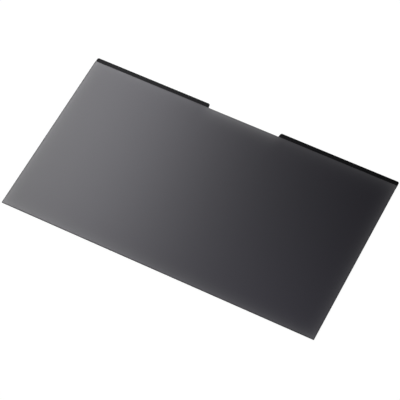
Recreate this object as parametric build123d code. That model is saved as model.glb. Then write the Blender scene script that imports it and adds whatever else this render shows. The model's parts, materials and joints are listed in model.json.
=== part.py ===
from build123d import *
from math import radians, tan
import os

# Laptop privacy filter: a flat louvre film, with two flexible magnet strips taped behind its top margin.
# The strips stand past the film's top edge and leave a clear stretch between them for the webcam.
# Millimetres. X runs along the film's long side, Y towards the strips, Z out of the viewing face.
# The origin lies under the middle of the whole outline, on the plane of the strips' magnet faces.

# Film
film_width = 294.0
film_height = 166.0
film_thickness = 0.55
film_corner_radius = 0.5
film_edge_radius = 0.12  # roll that the die leaves round the viewing face

# Magnet strips
webcam_gap = 67.8  # clear length between the two strips, along the film's top edge
strip_reach = 4.6  # how far a strip stands past the film's top edge
strip_overlap = 4.0  # how far a strip runs in behind the film
strip_thickness = 0.7
strip_end_slant = 10.0  # degrees that a strip's webcam end leans back from the gap
strip_corner_radius = 1.6  # corners of the strip's outline
strip_edge_radius = 0.15  # rolled edges of its two faces

# Bond tape
tape_thickness = 0.1
tape_setback = 0.3  # from every edge of the overlap between strip and film

# A fillet takes at most this share of the wall that it rounds
most_of_wall = 0.45

# Sizes that follow
strip_width = strip_reach + strip_overlap
outline_height = film_height + strip_reach
outline_top = outline_height / 2
film_top = outline_top - strip_reach
strip_bottom = film_top - strip_overlap

# Levels, from the magnet faces up
tape_level = strip_thickness
film_level = tape_level + tape_thickness


def film_outline():
    """Outline of the film, with barely eased corners."""
    middle = Pos(0, film_top - film_height / 2)
    return middle * RectangleRounded(film_width, film_height, film_corner_radius)


def filter_sheet():
    """The film, die-cut from laminated sheet, which leaves a rolled edge round the viewing face."""
    roll = min(film_edge_radius, most_of_wall * film_thickness, most_of_wall * film_corner_radius)
    sheet = extrude(Pos(0, 0, film_level) * film_outline(), film_thickness)
    viewing_face = sheet.faces().sort_by(Axis.Z)[-1]
    return fillet(viewing_face.edges(), roll)


def right_strip_outline():
    """Outline of the strip on the right: flush with the film's side, and leaning back at the webcam end."""
    lean = tan(radians(strip_end_slant))
    webcam_end = webcam_gap / 2
    side = film_width / 2
    outline = Polygon(
        (webcam_end - strip_overlap * lean, strip_bottom),
        (side, strip_bottom),
        (side, outline_top),
        (webcam_end + strip_reach * lean, outline_top),
    )
    return fillet(outline.vertices(), min(strip_corner_radius, most_of_wall * strip_width))


def right_magnet_strip():
    """The strip on the right, seen from the viewing face, with the edges of both faces rolled."""
    roll = min(strip_edge_radius, most_of_wall * strip_thickness)
    strip = extrude(right_strip_outline(), strip_thickness)
    lower_face = strip.faces().sort_by(Axis.Z)[0]
    upper_face = strip.faces().sort_by(Axis.Z)[-1]
    return fillet(lower_face.edges() + upper_face.edges(), roll)


def right_bond_tape():
    """The tape that fills the overlap between strip and film, set back so that it doesn't show."""
    overlap = right_strip_outline() & film_outline()
    return extrude(Pos(0, 0, tape_level) * offset(overlap, -tape_setback), tape_thickness)


pieces = {
    "filter_sheet": filter_sheet(),
    "left_magnet_strip": mirror(right_magnet_strip(), Plane.YZ),
    "right_magnet_strip": right_magnet_strip(),
    "left_bond_tape": mirror(right_bond_tape(), Plane.YZ),
    "right_bond_tape": right_bond_tape(),
}

os.makedirs("parts", exist_ok=True)
for name, piece in pieces.items():
    export_step(piece, f"parts/{name}.step")
    print(name, piece.bounding_box())
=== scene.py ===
import json
import math
import bmesh
import bpy
from mathutils import Matrix, Vector


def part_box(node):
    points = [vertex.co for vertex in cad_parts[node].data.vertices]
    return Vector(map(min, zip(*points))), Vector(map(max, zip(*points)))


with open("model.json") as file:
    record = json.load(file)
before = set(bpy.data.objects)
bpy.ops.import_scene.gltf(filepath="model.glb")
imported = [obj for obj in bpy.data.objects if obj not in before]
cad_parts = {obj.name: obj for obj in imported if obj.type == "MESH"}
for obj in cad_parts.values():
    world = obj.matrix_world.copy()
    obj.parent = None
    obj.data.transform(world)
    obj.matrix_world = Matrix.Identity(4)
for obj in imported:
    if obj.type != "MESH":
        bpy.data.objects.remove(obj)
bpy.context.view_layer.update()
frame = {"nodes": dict(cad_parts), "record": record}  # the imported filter: metres, +Z out of the viewing face, +Y towards the strips
print("frame loaded:", ", ".join(sorted(frame["nodes"])))

mm = 0.001
noiseLow, noiseHigh = 0.3, 0.7  # nearly all of a noise texture's values lie between these
waveSpacing = math.pi / 10  # between a wave texture's bands at a scale of 1


def linearColour(hexColour):
    channels = [int(hexColour[i:i + 2], 16) / 255 for i in (1, 3, 5)]
    return [c / 12.92 if c <= 0.04045 else ((c + 0.055) / 1.055) ** 2.4 for c in channels] + [1.0]


# a socket given among the inputs is linked, anything else is set as that input's value
# a Mix node's inputs go by number: 0 is the share, 2 and 3 mix as numbers, 6 and 7 as colours
def addNode(tree, kind, settings=None, inputs=None):
    node = tree.nodes.new(kind)
    for name, value in (settings or {}).items():
        setattr(node, name, value)
    for name, value in (inputs or {}).items():
        if isinstance(value, bpy.types.NodeSocket):
            tree.links.new(value, node.inputs[name])
        else:
            node.inputs[name].default_value = value
    return node


# a new material and its empty node tree
def newMaterial(name):
    material = bpy.data.materials.new(name)
    material.use_nodes = True
    material.node_tree.nodes.clear()
    return material, material.node_tree


# a point's place on its piece, in millimetres
def placeOnPiece(tree):
    metres = addNode(tree, "ShaderNodeTexCoord").outputs["Object"]
    place = addNode(tree, "ShaderNodeVectorMath", {"operation": "SCALE"}, {0: metres, "Scale": 1 / mm})
    return place.outputs[0]


# place of a camera or lamp that looks back at its aim, rolled about its line of sight
# azimuth 0 is the front (-Y), 90 the right (+X)
def lookBack(s):
    a, e = math.radians(s["azimuth"]), math.radians(s["elevation"])
    direction = Vector((math.sin(a) * math.cos(e), -math.cos(a) * math.cos(e), math.sin(e)))
    side = Vector((0, 0, 1)).cross(direction).normalized()
    axes = Matrix((side, direction.cross(side), direction)).transposed()
    turned = Matrix.Rotation(math.radians(s["roll"]), 3, direction) @ axes
    return Matrix.Translation(s["aim"] + direction * s["distance"]) @ turned.to_4x4()


# Camera: a long lens from the front right, looking down on the sheet as it lies
cameraSettings = {
    "aim": Vector((3.07, -7.52, 1.35)) * mm,
    "azimuth": 28.575,
    "elevation": 58.02,
    "distance": 1628.3 * mm,
    "roll": -1.638,
    "lens": 172.28,
    "sensor": 36.0,
}


def makeCamera(s):
    camera = bpy.data.objects.new("photo_camera", bpy.data.cameras.new("photo_camera"))
    camera.data.sensor_width = s["sensor"]
    camera.data.lens = s["lens"]
    camera.matrix_world = lookBack(s)
    bpy.context.collection.objects.link(camera)
    bpy.context.scene.camera = camera


makeCamera(cameraSettings)
print("camera placed")

# Softbox behind the left corner: its blurred reflection is the grey that fades across the film
# Its two halves are faintly tinted, so that the grey turns from neutral to violet as it fades
softboxSettings = {
    "aim": Vector(),
    "azimuth": 228.5,
    "elevation": 46.6,
    "distance": 0.9,
    "roll": -40.3,
    "size": (0.377, 0.604),
    "halves": {
        "softbox_cool": {"side": -1, "radiance": 6.6, "colour": "#f8f6ff"},
        "softbox_warm": {"side": 1, "radiance": 6.26, "colour": "#fdfef9"},
    },
}

# Card overhead: a weak second reflection, which lifts the near right corner a little
cardSettings = {
    "aim": Vector(),
    "azimuth": 199.5,
    "elevation": 76.1,
    "distance": 0.773,
    "roll": 0.0,
    "size": (0.25, 0.25),
    "radiance": 1.62,
    "colour": "#e9e5ff",
}

# Side panels: weak, well off the camera's mirror direction, so that the film blooms from other sides too
sideSettings = {
    "aim": Vector(),
    "azimuths": {"panel_left": 318.0, "panel_right": 120.0, "panel_front": 20.0},
    "elevation": 42.0,
    "distance": 0.9,
    "roll": 0.0,
    "size": (0.3, 0.3),
    "radiance": 2.0,
    "colour": "#ffffff",
}


# a panel's energy follows from how bright it looks in a mirror, so its size can change by itself
def addPanel(name, place, size, radiance, colour):
    light = bpy.data.lights.new(name, "AREA")
    light.shape = "RECTANGLE"
    light.size, light.size_y = size
    light.energy = radiance * math.pi * light.size * light.size_y
    light.color = linearColour(colour)[:3]
    lamp = bpy.data.objects.new(name, light)
    lamp.matrix_world = place
    lamp.visible_camera = False
    bpy.context.collection.objects.link(lamp)


def makeSoftbox(s):
    width, height = s["size"]
    for name, half in s["halves"].items():
        aside = Matrix.Translation((half["side"] * width / 4, 0, 0))
        addPanel(name, lookBack(s) @ aside, (width / 2, height), half["radiance"], half["colour"])


def makeCard(s):
    addPanel("card", lookBack(s), s["size"], s["radiance"], s["colour"])


def makeSides(s):
    for name, azimuth in s["azimuths"].items():
        addPanel(name, lookBack({**s, "azimuth": azimuth}), s["size"], s["radiance"], s["colour"])


makeSoftbox(softboxSettings)
makeCard(cardSettings)
makeSides(sideSettings)
print("lamps placed")

# Surroundings: white to the eye
# Reflections see pale walls low down, and above them a ceiling so dim that the film's far end stays dark
surroundings = {
    "colour": "#ffffff",
    "seen": 1.1,
    "walls": 0.25,
    "ceiling": 0.01,
    "wallTop": (20.0, 42.0),  # degrees up: the walls begin to fade at the first and are gone at the second
}


def makeWorld(s):
    world = bpy.data.worlds.new("studio")
    bpy.context.scene.world = world
    world.use_nodes = True
    tree = world.node_tree
    tree.nodes.clear()
    colour = linearColour(s["colour"])
    direction = addNode(tree, "ShaderNodeTexCoord").outputs["Generated"]  # in a world, a ray's own direction
    up = addNode(tree, "ShaderNodeSeparateXYZ", inputs={0: direction}).outputs[2]
    fadeStart, fadeEnd = [math.sin(math.radians(angle)) for angle in s["wallTop"]]
    reflected = addNode(tree, "ShaderNodeMapRange", {"interpolation_type": "SMOOTHSTEP"}, {
        "Value": up,
        "From Min": fadeStart,
        "From Max": fadeEnd,
        "To Min": s["walls"],
        "To Max": s["ceiling"],
    })
    dim = addNode(tree, "ShaderNodeBackground", inputs={"Color": colour, "Strength": reflected.outputs[0]})
    bright = addNode(tree, "ShaderNodeBackground", inputs={"Color": colour, "Strength": s["seen"]})
    toEye = addNode(tree, "ShaderNodeLightPath").outputs["Is Camera Ray"]
    mix = addNode(tree, "ShaderNodeMixShader", inputs={0: toEye, 1: dim.outputs[0], 2: bright.outputs[0]})
    addNode(tree, "ShaderNodeOutputWorld", inputs={"Surface": mix.outputs[0]})
    bpy.context.scene.view_settings.view_transform = "Standard"


makeWorld(surroundings)

# Floor: a product table of opal acrylic, lit from within
# Its own glow makes nearly all of its white, so that lamps leave no bright pools and thin shadows wash out
floorSettings = {
    "halfSide": 20.0,
    "colour": "#404040",
    "glowColour": "#ffffff",
    "glow": 0.98,
    "roughness": 0.9,
    "specular": 0.0,
}


def makeFloor(s):
    mesh = bpy.data.meshes.new("floor")
    bm = bmesh.new()
    bmesh.ops.create_grid(bm, x_segments=1, y_segments=1, size=s["halfSide"])
    bm.to_mesh(mesh)
    bm.free()
    floor = bpy.data.objects.new("floor", mesh)
    bpy.context.collection.objects.link(floor)
    material, tree = newMaterial("white_acrylic_table")
    shader = addNode(tree, "ShaderNodeBsdfPrincipled", inputs={
        "Base Color": linearColour(s["colour"]),
        "Roughness": s["roughness"],
        "Specular IOR Level": s["specular"],
        "Emission Color": linearColour(s["glowColour"]),
        "Emission Strength": s["glow"],
    })
    addNode(tree, "ShaderNodeOutputMaterial", inputs={"Surface": shader.outputs[0]})
    mesh.materials.append(material)


makeFloor(floorSettings)
print("surroundings and floor made")

# Film: PET louvre film, black slats between clear sheets, with a sprayed anti-glare coat and a die-cut edge
# It looks near black with a satin bloom: a lamp shows in it as a soft gradient, never as a sharp image
filmLow, filmHigh = [Vector(corner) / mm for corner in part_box("filter_sheet")]
filmSettings = {  # lengths in mm
    "black": "#1b1a20",  # louvres seen through the coat, faintly violet
    "paintedLightGrey": "#5c5c5c",  # painted light: the white table seen through the film where light gets in under the edge
    "paintedLightStart": {"left": 0.9, "right": 0.9, "bottom": 0.9, "top": 0.05},  # painted light: none at the cut, full here
    "paintedLightFlat": 2.0,  # even as far in as this
    "paintedLightReach": {"left": 3.8, "right": 3.8, "bottom": 4.4, "top": 5.0},  # then the painted light fades to a third over this
    "paintedLightShare": {"left": 0.66, "right": 0.45, "bottom": 0.57, "webcam": 1.0, "strips": 0.3},  # strength of the painted light on each side
    "webcamBlend": 8.0,  # half the length over which the painted edge light changes at a strip's end
    "louvrePitch": 0.6,  # really about 0.06, ten times coarser here so that it can show at all
    "louvreDepth": 0.2,  # how far the slats and the gaps between them depart from the mean
    "grainPitch": 0.4,  # really about 0.05, coarsened likewise
    "grainHeight": 0.003,
    "roughness": 0.325,
    "roughnessGrain": 0.012,
    "pinchWidth": 0.7,  # the die dulls the coat beside the cut: a thin dark line on the three free sides
    "pinchRoughness": 0.62,
    "backRoughness": 0.2,  # the plain side has no anti-glare coat
    "cutCore": "#09090a",
    "cutSheet": "#1e1e21",  # smoky line of the clear sheet above and below the louvres
    "sheetThickness": 0.1,
    "cutRoughness": 0.7,
    "faceTilt": 0.7,  # a normal whose Z is past this belongs to a face, any other to the cut
    "ior": 1.5,
}


# painted edge light: one fading band of painted light per side, the top one strong only where no strip
# shades it
# also gives the distance in from the nearest of the three free sides
def addFilmPaintedEdgeLight(tree, s, x, y):
    webcamNotch = frame["record"]["physics"]["openings"][0]["box_m"]
    webcamHalf = webcamNotch[1][0] / mm  # half the clear stretch between the strips
    fromMiddle = addNode(tree, "ShaderNodeMath", {"operation": "ABSOLUTE"}, {0: x})
    topShare = addNode(tree, "ShaderNodeMapRange", {"interpolation_type": "SMOOTHSTEP"}, {
        "Value": fromMiddle.outputs[0],
        "From Min": webcamHalf - s["webcamBlend"],
        "From Max": webcamHalf + s["webcamBlend"],
        "To Min": s["paintedLightShare"]["webcam"],
        "To Max": s["paintedLightShare"]["strips"],
    })
    # each side has the coordinate across it, which way is in, how far off the origin it is, and its strength
    sides = [
        ("left", x, 1.0, -filmLow.x, s["paintedLightShare"]["left"]),
        ("right", x, -1.0, filmHigh.x, s["paintedLightShare"]["right"]),
        ("bottom", y, 1.0, -filmLow.y, s["paintedLightShare"]["bottom"]),
        ("top", y, -1.0, filmHigh.y, topShare.outputs[0]),
    ]
    # the bands of painted light from the four sides add up
    paintedEdgeLight = 0.0
    nearest = filmHigh.x - filmLow.x  # no point is further in than this
    for side, along, sign, edge, share in sides:
        inward = addNode(tree, "ShaderNodeMath", {"operation": "MULTIPLY_ADD"}, {0: along, 1: sign, 2: edge})
        begun = addNode(tree, "ShaderNodeMapRange", {"interpolation_type": "SMOOTHSTEP"}, {
            "Value": inward.outputs[0], "From Max": s["paintedLightStart"][side], "To Max": share})
        depth = addNode(tree, "ShaderNodeMath", {"operation": "MAXIMUM"}, {
            0: inward.outputs[0], 1: s["paintedLightFlat"]})
        past = addNode(tree, "ShaderNodeMath", {"operation": "SUBTRACT"}, {
            0: depth.outputs[0], 1: s["paintedLightFlat"]})
        fade = addNode(tree, "ShaderNodeMath", {"operation": "POWER"}, {
            0: math.exp(-1 / s["paintedLightReach"][side]), 1: past.outputs[0]})
        paintedEdgeLight = addNode(tree, "ShaderNodeMath", {"operation": "MULTIPLY_ADD"}, {
            0: fade.outputs[0], 1: begun.outputs[0], 2: paintedEdgeLight}).outputs[0]
        if side != "top":
            nearest = addNode(tree, "ShaderNodeMath", {"operation": "MINIMUM"}, {
                0: inward.outputs[0], 1: nearest}).outputs[0]
    return paintedEdgeLight, nearest


# louvres: dark upright slats across the long side, with the painted edge light over them
def addFilmFace(tree, s, place, paintedEdgeLight):
    slats = addNode(tree, "ShaderNodeTexWave", {"wave_type": "BANDS", "bands_direction": "X"}, {
        "Vector": place, "Scale": waveSpacing / s["louvrePitch"]})
    slatShade = addNode(tree, "ShaderNodeMapRange", inputs={
        "Value": slats.outputs["Fac"], "To Min": 1 - s["louvreDepth"], "To Max": 1 + s["louvreDepth"]})
    black = addNode(tree, "ShaderNodeVectorMath", {"operation": "SCALE"}, {
        0: linearColour(s["black"])[:3], "Scale": slatShade.outputs[0]})
    # painted light: the pale grey is laid over the black near the edges
    face = addNode(tree, "ShaderNodeMix", {"data_type": "RGBA"}, {
        0: paintedEdgeLight, 6: black.outputs[0], 7: linearColour(s["paintedLightGrey"])})
    return face.outputs[2]


# cut edge: louvre core between two clear sheets
def addFilmCut(tree, s, z):
    middle = (filmLow.z + filmHigh.z) / 2
    coreHalf = (filmHigh.z - filmLow.z) / 2 - s["sheetThickness"]
    fromCore = addNode(tree, "ShaderNodeMath", {"operation": "SUBTRACT"}, {0: z, 1: middle})
    offCore = addNode(tree, "ShaderNodeMath", {"operation": "ABSOLUTE"}, {0: fromCore.outputs[0]})
    inSheet = addNode(tree, "ShaderNodeMath", {"operation": "GREATER_THAN"}, {
        0: offCore.outputs[0], 1: coreHalf})
    cut = addNode(tree, "ShaderNodeMix", {"data_type": "RGBA"}, {
        0: inSheet.outputs[0], 6: linearColour(s["cutCore"]), 7: linearColour(s["cutSheet"])})
    return cut.outputs[2]


def makeFilmMaterial(s):
    material, tree = newMaterial("pet_louvre_film_antiglare")
    place = placeOnPiece(tree)
    x, y, z = addNode(tree, "ShaderNodeSeparateXYZ", inputs={0: place}).outputs
    # painted edge light, and the distance in from the free sides
    paintedEdgeLight, nearest = addFilmPaintedEdgeLight(tree, s, x, y)

    # the two faces and the cut between them are told apart by which way they look
    normal = addNode(tree, "ShaderNodeNewGeometry").outputs["Normal"]
    up = addNode(tree, "ShaderNodeSeparateXYZ", inputs={0: normal}).outputs[2]
    tilt = addNode(tree, "ShaderNodeMath", {"operation": "ABSOLUTE"}, {0: up})
    isCut = addNode(tree, "ShaderNodeMath", {"operation": "LESS_THAN"}, {
        0: tilt.outputs[0], 1: s["faceTilt"]})
    isBack = addNode(tree, "ShaderNodeMath", {"operation": "LESS_THAN"}, {0: up, 1: -s["faceTilt"]})
    colour = addNode(tree, "ShaderNodeMix", {"data_type": "RGBA"}, {
        0: isCut.outputs[0], 6: addFilmFace(tree, s, place, paintedEdgeLight), 7: addFilmCut(tree, s, z)})

    # coat: fine grain that breaks the reflection up evenly
    grain = addNode(tree, "ShaderNodeTexNoise", inputs={
        "Vector": place, "Scale": 1 / s["grainPitch"], "Detail": 2.0, "Roughness": 0.6})
    coat = addNode(tree, "ShaderNodeMapRange", inputs={
        "Value": grain.outputs["Fac"],
        "From Min": noiseLow,
        "From Max": noiseHigh,
        "To Min": s["roughness"] - s["roughnessGrain"],
        "To Max": s["roughness"] + s["roughnessGrain"],
    })
    pinch = addNode(tree, "ShaderNodeMapRange", {"interpolation_type": "SMOOTHSTEP"}, {
        "Value": nearest,
        "From Min": s["pinchWidth"] / 2,
        "From Max": s["pinchWidth"],
        "To Min": 1.0,
        "To Max": 0.0,
    })
    dulled = addNode(tree, "ShaderNodeMix", {"data_type": "FLOAT"}, {
        0: pinch.outputs[0], 2: coat.outputs[0], 3: s["pinchRoughness"]})
    faceRough = addNode(tree, "ShaderNodeMix", {"data_type": "FLOAT"}, {
        0: isBack.outputs[0], 2: dulled.outputs[0], 3: s["backRoughness"]})
    rough = addNode(tree, "ShaderNodeMix", {"data_type": "FLOAT"}, {
        0: isCut.outputs[0], 2: faceRough.outputs[0], 3: s["cutRoughness"]})
    bump = addNode(tree, "ShaderNodeBump", inputs={
        "Height": grain.outputs["Fac"], "Distance": s["grainHeight"] * mm})
    shader = addNode(tree, "ShaderNodeBsdfPrincipled", inputs={
        "Base Color": colour.outputs[2],
        "Roughness": rough.outputs[0],
        "IOR": s["ior"],
        "Normal": bump.outputs[0],
    })
    addNode(tree, "ShaderNodeOutputMaterial", inputs={"Surface": shader.outputs[0]})
    return material


# Magnet strips: ferrite powder in rubber, calendered
# It looks flat black and hardly shines, with dull streaks along its length from the rollers
stripSettings = {  # lengths in mm
    "black": "#060606",
    "powder": "#19191a",
    "streakPitch": (14.0, 0.5, 0.5),
    "powderPitch": 0.35,  # really a few thousandths, coarsened so that a close view shows it
    "powderHeight": 0.012,
    "powderSpan": (0.15, 0.45),  # streaks times powder mostly lie between these
    "roughness": (0.31, 0.45),
    "specular": 0.08,
}


def makeStripMaterial(s):
    material, tree = newMaterial("ferrite_rubber_calendered")
    place = placeOnPiece(tree)
    stretched = addNode(tree, "ShaderNodeVectorMath", {"operation": "DIVIDE"}, {
        0: place, 1: s["streakPitch"]})
    streaks = addNode(tree, "ShaderNodeTexNoise", inputs={
        "Vector": stretched.outputs[0], "Scale": 1.0, "Detail": 2.0})
    powder = addNode(tree, "ShaderNodeTexNoise", inputs={
        "Vector": place, "Scale": 1 / s["powderPitch"], "Detail": 3.0})
    both = addNode(tree, "ShaderNodeMath", {"operation": "MULTIPLY"}, {
        0: streaks.outputs["Fac"], 1: powder.outputs["Fac"]})
    amount = addNode(tree, "ShaderNodeMapRange", inputs={
        "Value": both.outputs[0], "From Min": s["powderSpan"][0], "From Max": s["powderSpan"][1]})
    colour = addNode(tree, "ShaderNodeMix", {"data_type": "RGBA"}, {
        0: amount.outputs[0], 6: linearColour(s["black"]), 7: linearColour(s["powder"])})
    rough = addNode(tree, "ShaderNodeMapRange", inputs={
        "Value": streaks.outputs["Fac"],
        "From Min": noiseLow,
        "From Max": noiseHigh,
        "To Min": s["roughness"][0],
        "To Max": s["roughness"][1],
    })
    bump = addNode(tree, "ShaderNodeBump", inputs={
        "Height": both.outputs[0], "Distance": s["powderHeight"] * mm})
    shader = addNode(tree, "ShaderNodeBsdfPrincipled", inputs={
        "Base Color": colour.outputs[2],
        "Roughness": rough.outputs[0],
        "Specular IOR Level": s["specular"],
        "Normal": bump.outputs[0],
    })
    addNode(tree, "ShaderNodeOutputMaterial", inputs={"Surface": shader.outputs[0]})
    return material


# Bond tape: black acrylic tape, slit from the roll
# Only its slit edge shows, as a thin dull line in the seam, a little mottled
tapeSettings = {"black": "#101011", "grey": "#1b1b1c", "mottlePitch": 0.8, "roughness": 0.75}  # pitch in mm


def makeTapeMaterial(s):
    material, tree = newMaterial("acrylic_bond_tape")
    mottle = addNode(tree, "ShaderNodeTexNoise", inputs={
        "Vector": placeOnPiece(tree), "Scale": 1 / s["mottlePitch"], "Detail": 3.0})
    colour = addNode(tree, "ShaderNodeMix", {"data_type": "RGBA"}, {
        0: mottle.outputs["Fac"], 6: linearColour(s["black"]), 7: linearColour(s["grey"])})
    shader = addNode(tree, "ShaderNodeBsdfPrincipled", inputs={
        "Base Color": colour.outputs[2], "Roughness": s["roughness"]})
    addNode(tree, "ShaderNodeOutputMaterial", inputs={"Surface": shader.outputs[0]})
    return material


stripMaterial = makeStripMaterial(stripSettings)
tapeMaterial = makeTapeMaterial(tapeSettings)
looks = {
    "filter_sheet": makeFilmMaterial(filmSettings),
    "left_magnet_strip": stripMaterial,
    "right_magnet_strip": stripMaterial,
    "left_bond_tape": tapeMaterial,
    "right_bond_tape": tapeMaterial,
}
for name, material in looks.items():
    frame["nodes"][name].material_slots[0].material = material
print("materials given to", len(looks), "pieces")
